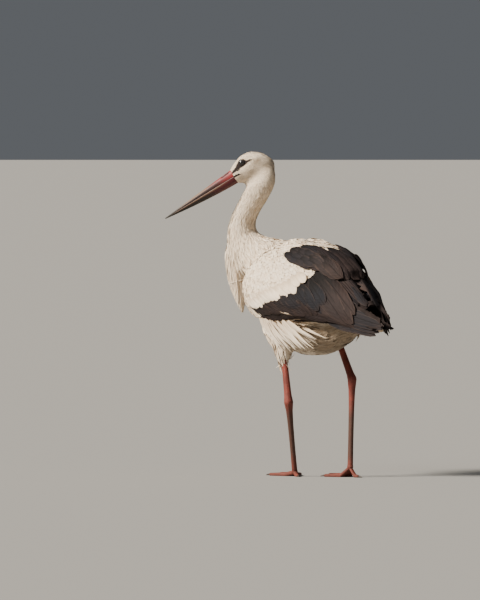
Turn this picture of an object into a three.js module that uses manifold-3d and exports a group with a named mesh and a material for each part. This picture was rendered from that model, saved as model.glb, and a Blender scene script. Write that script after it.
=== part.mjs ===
// A white stork standing still, life size, in millimetres, +Z up.
// It heads along -X. Its left side is -Y, and its head is turned to the left.
import * as THREE from 'three';
import { mergeVertices } from 'three/addons/utils/BufferGeometryUtils.js';
import Module from 'manifold-3d';

const wasm = await Module();
wasm.setup();

// ---- driving dimensions ----------------------------------------------------------------
// Places are (ahead of the hips, to the bird's right, up from the floor).

const GAP = 0.3; // between neighbouring pieces
const SHEET_GAP = 0.8; // round a curved sheet of plumage, whose facets cut corners
const BLADE = 0.6; // half the thickness at an edge of plumage

// Trunk: each row is one station from breast to rump: ahead, top, bottom, half width.
const TRUNK_STATIONS = [
  [157, 452, 424, 12],
  [148, 482, 392, 42],
  [132, 506, 350, 68],
  [100, 516, 306, 91],
  [50, 515, 281, 96],
  [0, 509, 268, 92],
  [-50, 498, 270, 82],
  [-100, 482, 283, 66],
  [-150, 458, 302, 46],
  [-195, 424, 322, 26],
  [-222, 388, 344, 8],
];

// Neck: centre line from the shoulders up into the skull, with half thicknesses.
const NECK_PATH = [
  [100, -20, 462],
  [150, -49, 484],
  [178, -69, 520],
  [177, -71, 561],
  [162, -65, 590],
  [147, -59, 612],
  [134, -54, 631],
  [126, -46, 658],
  [124, -43, 681],
];
const NECK_SIZES = [
  [60, 58],
  [50, 48],
  [37, 36],
  [29, 28],
  [26, 26],
  [26, 27],
  [26, 29],
  [25, 31],
  [18, 22],
];
const NECK_PARTINGS = [0, 0.33, 1]; // shares of the path
const NECK_PIECES = ['neck_lower', 'neck_upper'];

// Breast plumes: the long feathers that hang from the foot of the neck.
const PLUME_PATH = [
  [176, -72, 528],
  [187, -80, 492],
  [184, -81, 448],
  [175, -80, 404],
  [166, -78, 357],
];
const PLUME_SIZES = [
  [26, 18],
  [28, 22],
  [25, 19],
  [16, 11],
  [2.5, 1.5],
];

// Head: turned left of the heading and nodding, its stations run along the bill's axis.
const HEAD_TURN = THREE.MathUtils.degToRad(60);
const BILL_DIP = THREE.MathUtils.degToRad(31.5);
const HEAD_CENTRE = [139, -57, 682];
// Each row: forward, top, bottom, half width.
const HEAD_STATIONS = [
  [-38, -4, -12, 3],
  [-33, 8, -22, 14],
  [-24, 22, -31, 21],
  [-9, 34, -36, 26],
  [6, 38.5, -33, 27],
  [21, 38, -26, 24.5],
  [36, 33, -18.5, 19],
  [48, 27.5, -11.5, 15],
  [56, 23.5, -8, 12.5],
];
const BILL_BASE = 56;
const BILL_TIP = 231;
const GAPE_HEIGHT = 8;
// Fullness: 1 tapers straight, more keeps it deep for longer.
const UPPER_BILL = { direction: 1, depth: 15.5, fullness: 1.05 };
const LOWER_BILL = { direction: -1, depth: 16.5, fullness: 1.6 };
const BILL_HALF_WIDTH = 12;
const BILL_TIP_HALF = 1.3;
const BILL_NARROWING = 0.8; // under 1 narrows soonest near the base
const EYE_FORWARD = 24;
const EYE_HEIGHT = 24.5;
const EYE_OUT = 16.2;
const EYE_RADIUS = 7;

// How boxy the sections are: 2 is an ellipse.
const TRUNK_SQUARENESS = 2.3;
const HEAD_SQUARENESS = 2.1;
const TOE_SQUARENESS = 2.4;

// Folded wing, one side. Each row: ahead, then the upper edge, the swell of the side and
// the lower edge, each as (out, up), and last the half thickness.
const WING_STATIONS = [
  [129, 74, 438, 86, 420, 80, 400, 2],
  [120, 64, 468, 98, 425, 88, 380, 6],
  [90, 52, 501, 107, 434, 97, 353, 9],
  [40, 43, 508, 109, 436, 98, 345, 9.5],
  [-10, 36, 504, 107, 431, 96, 343, 9],
  [-70, 28, 490, 99, 415, 88, 343, 8],
  [-125, 20, 472, 83, 401, 73, 342, 6.5],
  [-178, 12, 446, 64, 386, 57, 339, 5],
  [-226, 7, 414, 44, 369, 42, 334, 3.5],
  [-266, 5, 380, 27, 353, 30, 330, 2.5],
];
// Flight feathers beyond the covered part: tip of each as (ahead, out, up).
const FLIGHT_TIPS = [
  [-329, 8, 348],
  [-325, 11, 333],
  [-304, 16, 317],
  [-287, 23, 321],
  [-263, 32, 325],
];
const FLIGHT_ROOT = [-170, 52, 396];
const FLIGHT_ROOT_DROP = 8;
const FLIGHT_HALF_WIDTH = 15;
const FLIGHT_HALF_THICK = 2.2;
const FLIGHT_TIP_SHARE = 0.4; // of the width, left at the tip

// Scapular feathers over each shoulder, in the same form as the wing's rows.
const SCAPULAR_STATIONS = [
  [48, 12, 520, 32, 518, 50, 505, 1.5],
  [14, 3, 520, 40, 513, 67, 478, 4],
  [-36, 2, 511, 43, 500, 70, 458, 4.5],
  [-86, 2, 498, 41, 486, 64, 450, 4.5],
  [-136, 2, 478, 30, 469, 46, 445, 4],
  [-184, 2, 452, 14, 450, 23, 440, 2],
];

// Tail: rows of ahead, up, half width, half thickness.
const TAIL_STATIONS = [
  [-150, 372, 30, 10],
  [-200, 359, 36, 8],
  [-250, 346, 36, 5],
  [-296, 335, 34, 3],
  [-316, 330, 28, 1.5],
];

// Legs: the left one stands ahead, the right one trails with its heel a little raised.
const LEGS = {
  left: {
    side: -1,
    thigh: [[30, -58, 372], [24, -68, 330], [5, -68, 296], [3, -69, 259]],
    ankle: [-17, -67, 166],
    footJoint: [33, -22, 9],
    toeTurn: -8,
  },
  right: {
    side: 1,
    thigh: [[24, 56, 372], [10, 60, 340], [-4, 61, 315], [-19, 61, 294]],
    ankle: [-76, 60, 216],
    footJoint: [-68, 60, 22],
    toeTurn: 4,
  },
};
const THIGH_SIZES = [
  [40, 44],
  [34, 38],
  [25, 29],
  [13, 15],
];
const SHANK_SIZES = [
  [5.8, 6.6],
  [7, 7.6],
  [7.8, 8.4],
  [9.8, 10.4],
];
const TARSUS_SIZES = [
  [9.8, 10.4],
  [7.2, 8],
  [5.8, 6.5],
  [5.4, 6],
  [5.8, 6.4],
];
const SHANK_ROOT = 0.4; // of the thigh's last length, where the shank comes out
const SHANK_SHARES = [0, 0.5, 0.86, 1]; // of its length, where its sizes are given
const TARSUS_SHARES = [0, 0.12, 0.35, 0.75, 1];
const TARSUS_STOP = 6; // the tarsus ends this far above the foot's joint

// Toes: angle from the foot's heading (outward positive), length, half width at the root.
const TOES = {
  inner: [-34, 60, 4.8],
  middle: [0, 80, 5],
  outer: [33, 66, 4.8],
  hind: [172, 27, 4.2],
};
const TOE_TIP_SHARE = 0.72; // of its root width
const TOE_FLAT_RUN = 22; // from the joint to where the toe lies flat
const TOE_FLAT_SHARE = 0.6; // of a short toe's length, which the flat run keeps within
const TOE_HEIGHT = 0.75; // of its centre over the floor, as a share of its half width
const TOE_JOINTS = 3;
// Where a toe comes down: share of the flat run, share of the way down, share of the half width.
const TOE_BEND = [0.55, 0.6, 1.05];
const TOE_HEEL_SWELL = 1.1;
const CLAW_LENGTH = 11;
const CLAW_ROOT_SHARE = 0.85; // of the toe's tip
const CLAW_MIDDLE_SHARE = 0.8; // of the claw's root
const CLAW_FLATNESS = 0.78; // height over width
const CLAW_LIFT = 0.4; // of its centre line, over its half width
const CLAW_TIP_HALF = 0.8;
const PAD_DROP = 4.25; // of the foot's pad below its joint
const PAD_SIZES = [
  [5.4, 5.8],
  [6.8, 7.2],
  [3, 3],
];

// Facets: sides round each form, and steps along it.
const BODY_SIDES = 20;
const NECK_SIDES = 18;
const THIGH_SIDES = 14;
const TAIL_SIDES = 12;
const LIMB_SIDES = 10;
const TOE_SIDES = 8;
const BLADE_SIDES = 6;
const BILL_ARCS = 7;
const SHEET_POINTS = 7; // across one face of a wing
const EYE_SEGMENTS = [9, 6];
const STEPS = {
  trunk: 14,
  head: 10,
  bill: 8,
  neck: [5, 9],
  plumes: 7,
  wing: 11,
  blade: 3,
  scapulars: 9,
  tail: 6,
  thigh: 6,
  shank: 7,
  tarsus: 8,
  pad: 4,
};

// ---- colours ---------------------------------------------------------------------------

function finish(colour, roughness) {
  return new THREE.MeshStandardMaterial({ color: colour, roughness, metalness: 0 });
}

const WHITE = finish(0xe6dccb, 0.9);
const BLACK = finish(0x3a3230, 0.7);
const BILL_RED = finish(0xb4584a, 0.45);
const BILL_DARK = finish(0x5a2f28, 0.45);
const LEG_RED = finish(0x9c4a38, 0.6);
const EYE_BLACK = finish(0x14100e, 0.1);
const CLAW_HORN = finish(0x2b2320, 0.5);

// ---- forms -----------------------------------------------------------------------------

function at(ahead, right, up) {
  return new THREE.Vector3(-ahead, right, up);
}

// A share of the way between two places.
function partWay(from, to, share) {
  return from.map((value, axis) => THREE.MathUtils.lerp(value, to[axis], share));
}

// The place at a distance from one place towards another.
function towards(from, to, distance) {
  const apart = Math.hypot(...from.map((value, axis) => to[axis] - value));
  return partWay(from, to, distance / apart);
}

// A value of several columns, eased smoothly through rows given at equal steps of 0 to 1.
function rowAt(rows, share) {
  const last = rows.length - 1;
  const place = THREE.MathUtils.clamp(share, 0, 1) * last;
  const low = Math.min(Math.floor(place), last - 1);
  const t = place - low;
  return rows[low].map((_, column) => {
    const pick = (row) => rows[THREE.MathUtils.clamp(row, 0, last)][column];
    const before = pick(low - 1);
    const start = pick(low);
    const end = pick(low + 1);
    const after = pick(low + 2);
    const leave = (end - before) / 2;
    const arrive = (after - start) / 2;
    const cubic = 2 * start - 2 * end + leave + arrive;
    const square = -3 * start + 3 * end - 2 * leave - arrive;
    return ((cubic * t + square) * t + leave) * t + start;
  });
}

// A closed solid through rings with the same even count of points, its ends capped by strips.
function loft(rings) {
  const sides = rings[0].length;
  const points = rings.flat();
  const triangles = [];
  for (let ring = 0; ring < rings.length - 1; ring += 1) {
    for (let side = 0; side < sides; side += 1) {
      const next = (side + 1) % sides;
      const a = ring * sides + side;
      const b = ring * sides + next;
      triangles.push(a, b, b + sides, a, b + sides, a + sides);
    }
  }
  for (const [ring, flip] of [[0, true], [rings.length - 1, false]]) {
    for (let side = 0; side < sides / 2 - 1; side += 1) {
      const [a, b, c, d] = [side, side + 1, sides - 2 - side, sides - 1 - side]
        .map((corner) => ring * sides + corner);
      triangles.push(...(flip ? [a, c, b, a, d, c] : [a, b, c, a, c, d]));
    }
  }
  return solidOf(points, triangles);
}

// A manifold solid from points and triangles, turned to face outwards.
function solidOf(points, triangles) {
  let volume = 0;
  for (let i = 0; i < triangles.length; i += 3) {
    const [a, b, c] = [0, 1, 2].map((corner) => points[triangles[i + corner]]);
    volume += a.dot(b.clone().cross(c));
  }
  const order = volume < 0 ? [0, 2, 1] : [0, 1, 2];
  const geometry = new THREE.BufferGeometry().setFromPoints(points);
  const index = triangles.map((_, i) => triangles[i - (i % 3) + order[i % 3]]);
  geometry.setIndex(index);
  const merged = mergeVertices(geometry);
  return new wasm.Manifold(new wasm.Mesh({
    numProp: 3,
    vertProperties: new Float32Array(merged.attributes.position.array),
    triVerts: new Uint32Array(merged.index.array),
  }));
}

// Points of a rounded section about a centre; a higher squareness is boxier.
function oval(centre, across, upward, half, rise, sides, squareness = 2) {
  const ring = [];
  for (let side = 0; side < sides; side += 1) {
    const angle = (2 * Math.PI * (side + 0.5)) / sides;
    const bend = (value) => Math.sign(value) * Math.abs(value) ** (2 / squareness);
    ring.push(centre.clone()
      .addScaledVector(across, bend(Math.cos(angle)) * half)
      .addScaledVector(upward, bend(Math.sin(angle)) * rise));
  }
  return ring;
}

// A tapering limb along a smooth path. The sizes are rows of (half across, half along).
function limb({ path, sizes, from = 0, to = 1, steps, sides = LIMB_SIDES, grow = 0 }) {
  const curve = new THREE.CatmullRomCurve3(path.map((point) => at(...point)));
  const reference = at(0, 1, 0);
  const rings = [];
  for (let step = 0; step <= steps; step += 1) {
    const share = THREE.MathUtils.lerp(from, to, step / steps);
    const [across, along] = rowAt(sizes, share);
    const tangent = curve.getTangent(share);
    const sideways = reference.clone().addScaledVector(tangent, -reference.dot(tangent)).normalize();
    const outward = tangent.clone().cross(sideways);
    const stretch = step === 0 ? -grow : step === steps ? grow : 0;
    const centre = curve.getPoint(share).addScaledVector(tangent, stretch);
    rings.push(oval(centre, sideways, outward, across + grow, along + grow, sides));
  }
  return loft(rings);
}

// A solid through upright stations of (place, top, bottom, half width) along an axis.
function hullAlong({ rows, origin, forward, across, upward, steps, sides, squareness, grow = 0 }) {
  const rings = [];
  for (let step = 0; step <= steps; step += 1) {
    const [place, top, bottom, half] = rowAt(rows, step / steps);
    const centre = origin.clone()
      .addScaledVector(forward, place)
      .addScaledVector(upward, (top + bottom) / 2);
    const rise = (top - bottom) / 2 + grow;
    rings.push(oval(centre, across, upward, half + grow, rise, sides, squareness));
  }
  return loft(rings);
}

// One curved sheet of plumage on one side of the body, from rows like WING_STATIONS.
function plumage({ rows, side, steps, grow = 0 }) {
  const rings = [];
  for (let step = 0; step <= steps; step += 1) {
    const [ahead, upperOut, upperUp, midOut, midUp, lowerOut, lowerUp, half] = rowAt(rows, step / steps);
    const upper = new THREE.Vector2(upperOut, upperUp);
    const lower = new THREE.Vector2(lowerOut, lowerUp);
    const pull = new THREE.Vector2(midOut, midUp).multiplyScalar(2)
      .sub(upper.clone().add(lower).multiplyScalar(0.5));
    const section = new THREE.QuadraticBezierCurve(upper, pull, lower);
    const outer = [];
    const inner = [];
    for (let i = 0; i < SHEET_POINTS; i += 1) {
      const share = i / (SHEET_POINTS - 1);
      const middle = section.getPoint(share);
      const tangent = section.getTangent(share);
      const reach = (share - 0.5) * 2 * grow;
      const thick = BLADE + (half - BLADE) * Math.sqrt(Math.sin(Math.PI * share)) + grow;
      const normal = new THREE.Vector2(-tangent.y, tangent.x).multiplyScalar(thick);
      middle.addScaledVector(tangent, reach);
      outer.push(middle.clone().add(normal));
      inner.unshift(middle.clone().sub(normal));
    }
    const stretch = step === 0 ? grow : step === steps ? -grow : 0;
    rings.push([...outer, ...inner].map((point) => at(ahead + stretch, side * point.x, point.y)));
  }
  return loft(rings);
}

// ---- whole forms, each able to grow by the gap to cut its neighbour ---------------------

const X_AHEAD = at(1, 0, 0);
const Y_RIGHT = at(0, 1, 0);
const Z_UP = at(0, 0, 1);

const headForward = at(
  Math.cos(HEAD_TURN) * Math.cos(BILL_DIP),
  -Math.sin(HEAD_TURN) * Math.cos(BILL_DIP),
  -Math.sin(BILL_DIP),
);
const headAcross = at(Math.sin(HEAD_TURN), Math.cos(HEAD_TURN), 0);
const headUpward = at(
  Math.cos(HEAD_TURN) * Math.sin(BILL_DIP),
  -Math.sin(HEAD_TURN) * Math.sin(BILL_DIP),
  Math.cos(BILL_DIP),
);

function trunkForm(grow) {
  return hullAlong({
    rows: TRUNK_STATIONS,
    origin: at(0, 0, 0),
    forward: X_AHEAD,
    across: Y_RIGHT,
    upward: Z_UP,
    steps: STEPS.trunk,
    sides: BODY_SIDES,
    squareness: TRUNK_SQUARENESS,
    grow,
  });
}

function headForm(grow) {
  return hullAlong({
    rows: HEAD_STATIONS,
    origin: at(...HEAD_CENTRE),
    forward: headForward,
    across: headAcross,
    upward: headUpward,
    steps: STEPS.head,
    sides: BODY_SIDES,
    squareness: HEAD_SQUARENESS,
    grow,
  });
}

function eyeForm(side, grow) {
  const ball = new THREE.SphereGeometry(EYE_RADIUS + grow, ...EYE_SEGMENTS);
  const centre = at(...HEAD_CENTRE)
    .addScaledVector(headForward, EYE_FORWARD)
    .addScaledVector(headUpward, EYE_HEIGHT)
    .addScaledVector(headAcross, side * EYE_OUT);
  ball.translate(centre.x, centre.y, centre.z);
  ball.deleteAttribute('normal');
  ball.deleteAttribute('uv');
  const merged = mergeVertices(ball);
  const points = [];
  for (let i = 0; i < merged.attributes.position.count; i += 1) {
    points.push(new THREE.Vector3().fromBufferAttribute(merged.attributes.position, i));
  }
  return solidOf(points, [...merged.index.array]);
}

// One mandible: flat where it meets the other, and drawn out straight to the tip.
function mandible({ direction, depth, fullness }) {
  const rings = [];
  for (let step = 0; step <= STEPS.bill; step += 1) {
    const share = step / STEPS.bill;
    const forward = THREE.MathUtils.lerp(BILL_BASE + GAP, BILL_TIP, share);
    const half = THREE.MathUtils.lerp(BILL_HALF_WIDTH, BILL_TIP_HALF, share ** BILL_NARROWING);
    const high = THREE.MathUtils.lerp(depth, BILL_TIP_HALF, share ** fullness);
    const centre = at(...HEAD_CENTRE)
      .addScaledVector(headForward, forward)
      .addScaledVector(headUpward, GAPE_HEIGHT + direction * GAP / 2);
    const ring = [];
    for (let arc = 0; arc <= BILL_ARCS; arc += 1) {
      const angle = (Math.PI * arc) / BILL_ARCS;
      ring.push(centre.clone()
        .addScaledVector(headAcross, Math.cos(angle) * half)
        .addScaledVector(headUpward, direction * Math.sin(angle) * high));
    }
    rings.push(ring);
  }
  return loft(rings);
}

// How far half a gap reaches along the neck's path at a parting, as a share of the path.
function halfGapShare(parting) {
  const curve = new THREE.CatmullRomCurve3(NECK_PATH.map((point) => at(...point)));
  const nudge = 0.01;
  const reach = curve.getPoint(parting).distanceTo(curve.getPoint(parting + nudge));
  return (GAP / 2) * (nudge / reach);
}

function neckForm(piece, grow) {
  const [start, end] = [NECK_PARTINGS[piece], NECK_PARTINGS[piece + 1]];
  const from = start > 0 ? start + halfGapShare(start) : start;
  const to = end < 1 ? end - halfGapShare(end) : end;
  const steps = STEPS.neck[piece];
  return limb({ path: NECK_PATH, sizes: NECK_SIZES, from, to, steps, sides: NECK_SIDES, grow });
}

function plumeForm(grow) {
  return limb({ path: PLUME_PATH, sizes: PLUME_SIZES, steps: STEPS.plumes, grow });
}

function wingForm(side, grow) {
  let wing = plumage({ rows: WING_STATIONS, side, steps: STEPS.wing, grow });
  FLIGHT_TIPS.forEach(([ahead, out, up], feather) => {
    const [rootAhead, rootOut, rootUp] = FLIGHT_ROOT;
    const start = [rootAhead, side * rootOut, rootUp - feather * FLIGHT_ROOT_DROP];
    const end = [ahead, side * out, up];
    const blade = limb({
      path: [start, partWay(start, end, 0.5), end],
      sizes: [
        [FLIGHT_HALF_THICK, FLIGHT_HALF_WIDTH],
        [FLIGHT_HALF_THICK, FLIGHT_HALF_WIDTH],
        [BLADE, FLIGHT_HALF_WIDTH * FLIGHT_TIP_SHARE],
      ],
      steps: STEPS.blade,
      sides: BLADE_SIDES,
      grow,
    });
    wing = wing.add(blade);
  });
  return wing;
}

function scapularForm(side, grow) {
  return plumage({ rows: SCAPULAR_STATIONS, side, steps: STEPS.scapulars, grow });
}

function tailForm(grow) {
  const rows = TAIL_STATIONS.map(([ahead, up, half, thick]) => [ahead, up + thick, up - thick, half]);
  return hullAlong({
    rows,
    origin: at(0, 0, 0),
    forward: X_AHEAD,
    across: Y_RIGHT,
    upward: Z_UP,
    steps: STEPS.tail,
    sides: TAIL_SIDES,
    squareness: 2,
    grow,
  });
}

function thighForm(leg, grow) {
  return limb({ path: leg.thigh, sizes: THIGH_SIZES, steps: STEPS.thigh, sides: THIGH_SIDES, grow });
}

function shankForm(leg, grow = 0) {
  const top = partWay(leg.thigh[2], leg.thigh[3], SHANK_ROOT);
  const end = towards(leg.ankle, top, GAP / 2);
  const path = SHANK_SHARES.map((share) => partWay(top, end, share));
  return limb({ path, sizes: SHANK_SIZES, steps: STEPS.shank, grow });
}

function tarsusForm(leg, grow = 0) {
  const start = towards(leg.ankle, leg.footJoint, GAP / 2);
  const end = towards(leg.footJoint, leg.ankle, TARSUS_STOP);
  const path = TARSUS_SHARES.map((share) => partWay(start, end, share));
  return limb({ path, sizes: TARSUS_SIZES, steps: STEPS.tarsus, grow });
}

// The heading of one toe on the floor, as (ahead, right).
function toeHeading(leg, angle) {
  const turn = THREE.MathUtils.degToRad(leg.side * angle - leg.toeTurn);
  return [Math.cos(turn), Math.sin(turn)];
}

// A toe or claw: rings across its heading, none reaching below the floor.
function toeRings(leg, heading, stations) {
  const [ahead, right] = heading;
  const across = at(-right, ahead, 0);
  return stations.map(([distance, centreUp, half, rise]) => {
    const centre = at(
      leg.footJoint[0] + ahead * distance,
      leg.footJoint[1] + right * distance,
      centreUp,
    );
    const ring = oval(centre, across, Z_UP, half, rise, TOE_SIDES, TOE_SQUARENESS);
    ring.forEach((point) => point.setZ(Math.max(point.z, 0)));
    return ring;
  });
}

function toeForm(leg, name) {
  const [angle, length, half] = TOES[name];
  const jointUp = leg.footJoint[2];
  const flatRun = Math.min(TOE_FLAT_RUN, length * TOE_FLAT_SHARE);
  const [bendRun, bendDrop, bendSwell] = TOE_BEND;
  const stations = [
    [0, jointUp, half, half],
    [flatRun * bendRun, THREE.MathUtils.lerp(jointUp, half, bendDrop), half * bendSwell, half],
    [flatRun, half * TOE_HEIGHT, half * TOE_HEEL_SWELL, half],
  ];
  for (let joint = 1; joint <= TOE_JOINTS; joint += 1) {
    const share = joint / TOE_JOINTS;
    const size = THREE.MathUtils.lerp(half, half * TOE_TIP_SHARE, share);
    stations.push([THREE.MathUtils.lerp(flatRun, length, share), size * TOE_HEIGHT, size, size]);
  }
  return loft(toeRings(leg, toeHeading(leg, angle), stations));
}

function clawForm(leg, name) {
  const [angle, length, half] = TOES[name];
  const root = half * TOE_TIP_SHARE * CLAW_ROOT_SHARE;
  const sizes = [root, root * CLAW_MIDDLE_SHARE, CLAW_TIP_HALF];
  const stations = sizes.map((size, joint) => {
    const distance = length + GAP + (CLAW_LENGTH * joint) / (sizes.length - 1);
    return [distance, size + CLAW_LIFT, size, size * CLAW_FLATNESS];
  });
  return loft(toeRings(leg, toeHeading(leg, angle), stations));
}

function footForm(leg) {
  const [ahead, right, up] = leg.footJoint;
  const top = towards(leg.footJoint, leg.ankle, TARSUS_STOP - GAP);
  const path = [top, leg.footJoint, [ahead, right, up - PAD_DROP]];
  let foot = limb({ path, sizes: PAD_SIZES, steps: STEPS.pad });
  for (const name of Object.keys(TOES)) {
    foot = foot.add(toeForm(leg, name));
  }
  return foot;
}

// ---- the pieces ------------------------------------------------------------------------

const stork = new THREE.Group();
stork.name = 'white_stork';

// Adds the solid's largest body as a mesh: a cut may leave loose crumbs, which are dropped.
function addPiece(name, solid, material) {
  const bodies = solid.decompose();
  const body = bodies.reduce((best, next) => (next.volume() > best.volume() ? next : best));
  const data = body.getMesh();
  const geometry = new THREE.BufferGeometry();
  geometry.setAttribute('position', new THREE.BufferAttribute(data.vertProperties, 3));
  geometry.setIndex(new THREE.BufferAttribute(data.triVerts, 1));
  const mesh = new THREE.Mesh(geometry, material.clone());
  mesh.name = name;
  stork.add(mesh);
}

function cut(solid, ...cutters) {
  return cutters.reduce((rest, cutter) => rest.subtract(cutter), solid);
}

// The room that a curved sheet needs: its grown form, and itself moved ahead, where its
// front edge turns in too fast for the grown form to hold it.
function roomFor(form, side) {
  const itself = form(side, 0);
  return form(side, SHEET_GAP).add(itself).add(itself.translate([-SHEET_GAP, 0, 0]));
}

const SIDES = { left: -1, right: 1 };
const grownWings = Object.values(SIDES).map((side) => roomFor(wingForm, side));
const grownScapulars = Object.values(SIDES).map((side) => roomFor(scapularForm, side));
const grownTrunk = trunkForm(GAP);

function addHead() {
  const eyes = Object.values(SIDES).map((side) => eyeForm(side, GAP));
  addPiece('head', cut(headForm(0), ...eyes), WHITE);
  addPiece('upper_bill', mandible(UPPER_BILL), BILL_RED);
  addPiece('lower_bill', mandible(LOWER_BILL), BILL_DARK);
  for (const [name, side] of Object.entries(SIDES)) {
    addPiece(`eye_${name}`, eyeForm(side, 0), EYE_BLACK);
  }
}

function addNeck() {
  const grownHead = headForm(GAP);
  NECK_PIECES.forEach((name, piece) => {
    addPiece(name, cut(neckForm(piece, 0), grownTrunk, ...grownWings, grownHead), WHITE);
  });
  const neck = NECK_PIECES.map((_, piece) => neckForm(piece, GAP));
  addPiece('breast_plumes', cut(plumeForm(0), grownTrunk, ...grownWings, ...neck), WHITE);
}

function addTrunk() {
  addPiece('trunk', cut(trunkForm(0), ...grownWings, ...grownScapulars), WHITE);
  addPiece('tail', cut(tailForm(0), grownTrunk, ...grownWings), WHITE);
}

function addWings() {
  Object.entries(SIDES).forEach(([name, side], index) => {
    addPiece(`wing_${name}`, cut(wingForm(side, 0), grownScapulars[index]), BLACK);
    addPiece(`scapulars_${name}`, scapularForm(side, 0), BLACK);
  });
}

function addLegs() {
  for (const [name, leg] of Object.entries(LEGS)) {
    addPiece(`thigh_${name}`, cut(thighForm(leg, 0), grownTrunk, ...grownWings), WHITE);
    addPiece(`shank_${name}`, cut(shankForm(leg), thighForm(leg, GAP), grownTrunk), LEG_RED);
    addPiece(`tarsus_${name}`, cut(tarsusForm(leg), shankForm(leg, GAP)), LEG_RED);
    addPiece(`foot_${name}`, cut(footForm(leg), tarsusForm(leg, GAP)), LEG_RED);
    for (const toe of Object.keys(TOES)) {
      addPiece(`claw_${name}_${toe}`, clawForm(leg, toe), CLAW_HORN);
    }
  }
}

addHead();
addNeck();
addTrunk();
addWings();
addLegs();

// The origin is under the middle of the whole bird, on the floor.
const box = new THREE.Box3().setFromObject(stork);
const middle = box.getCenter(new THREE.Vector3());
stork.position.set(-middle.x, -middle.y, -box.min.z);

export default stork;
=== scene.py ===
import math

import bmesh
import bpy
import numpy as np
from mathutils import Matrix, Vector
from mathutils.bvhtree import BVHTree


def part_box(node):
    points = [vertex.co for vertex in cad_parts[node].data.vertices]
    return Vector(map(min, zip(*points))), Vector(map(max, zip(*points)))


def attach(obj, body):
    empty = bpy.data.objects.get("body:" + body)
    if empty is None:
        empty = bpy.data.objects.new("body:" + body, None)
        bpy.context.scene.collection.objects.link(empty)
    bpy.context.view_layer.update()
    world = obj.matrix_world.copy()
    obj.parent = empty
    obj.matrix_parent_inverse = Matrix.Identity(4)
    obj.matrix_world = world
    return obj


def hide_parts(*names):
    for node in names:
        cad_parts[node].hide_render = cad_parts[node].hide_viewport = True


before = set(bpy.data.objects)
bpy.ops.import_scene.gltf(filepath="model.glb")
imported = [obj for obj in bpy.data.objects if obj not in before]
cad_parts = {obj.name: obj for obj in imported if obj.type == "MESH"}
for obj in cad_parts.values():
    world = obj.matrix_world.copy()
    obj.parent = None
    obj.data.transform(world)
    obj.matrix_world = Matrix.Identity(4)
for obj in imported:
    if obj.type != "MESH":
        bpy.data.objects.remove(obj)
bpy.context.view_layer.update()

MM = 0.001
SEED = 7
SIDES = {"left": -1, "right": 1}

# The bird's own frame: millimetres ahead, to its right and up from the floor under its middle.
TAIL_END = 316  # behind the middle
tail_low, tail_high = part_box("tail")
MIDDLE_X = tail_high.x - TAIL_END * MM
MIDDLE_Y = (tail_low.y + tail_high.y) / 2

# The head's own frame: forward along the bill, to its right and up from the head's centre.
HEAD_TURN = math.radians(60)
BILL_DIP = math.radians(31.5)
HEAD_CENTRE = np.array([139, -57, 682.0])
HEAD_LEVEL = np.array([math.cos(HEAD_TURN), -math.sin(HEAD_TURN), 0])  # where it looks, but level
UPRIGHT = np.array([0, 0, 1])
HEAD_AXES = np.array([
    math.cos(BILL_DIP) * HEAD_LEVEL - math.sin(BILL_DIP) * UPRIGHT,
    [math.sin(HEAD_TURN), math.cos(HEAD_TURN), 0],
    math.sin(BILL_DIP) * HEAD_LEVEL + math.cos(BILL_DIP) * UPRIGHT,
])


def bird(points):
    """Places in the row frame, in metres, of places given as (ahead, right, up) in millimetres."""
    p = np.asarray(points, float) * MM
    return np.stack([MIDDLE_X - p[..., 0], MIDDLE_Y + p[..., 1], p[..., 2]], -1)


def bird_way(ways):
    """Directions in the row frame of directions given as (ahead, right, up)."""
    return np.asarray(ways, float) * [-1, 1, 1]


def from_bird(points):
    """The (ahead, right, up) in millimetres of places in the row frame."""
    p = np.asarray(points, float)
    return np.stack([MIDDLE_X - p[..., 0], p[..., 1] - MIDDLE_Y, p[..., 2]], -1) / MM


def head_way(ways):
    """Directions in the bird's frame of directions given in the head's frame."""
    return np.asarray(ways, float) @ HEAD_AXES


def head(points):
    """Places in the bird's frame of places given in the head's frame."""
    return HEAD_CENTRE + head_way(points)


def in_head(points):
    """The head's frame of places in the bird's frame."""
    return (np.asarray(points, float) - HEAD_CENTRE) @ HEAD_AXES.T


def unit(vectors):
    v = np.asarray(vectors, float)
    return v / np.maximum(np.linalg.norm(v, axis=-1, keepdims=True), 1e-9)


def smooth_step(low, high, values):
    t = np.clip((values - low) / (high - low), 0, 1)
    return t * t * (3 - 2 * t)


def flattened(ways, normals):
    """Directions laid along a surface."""
    return unit(ways - normals * (ways * normals).sum(1, keepdims=True))


# ---- materials

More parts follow.
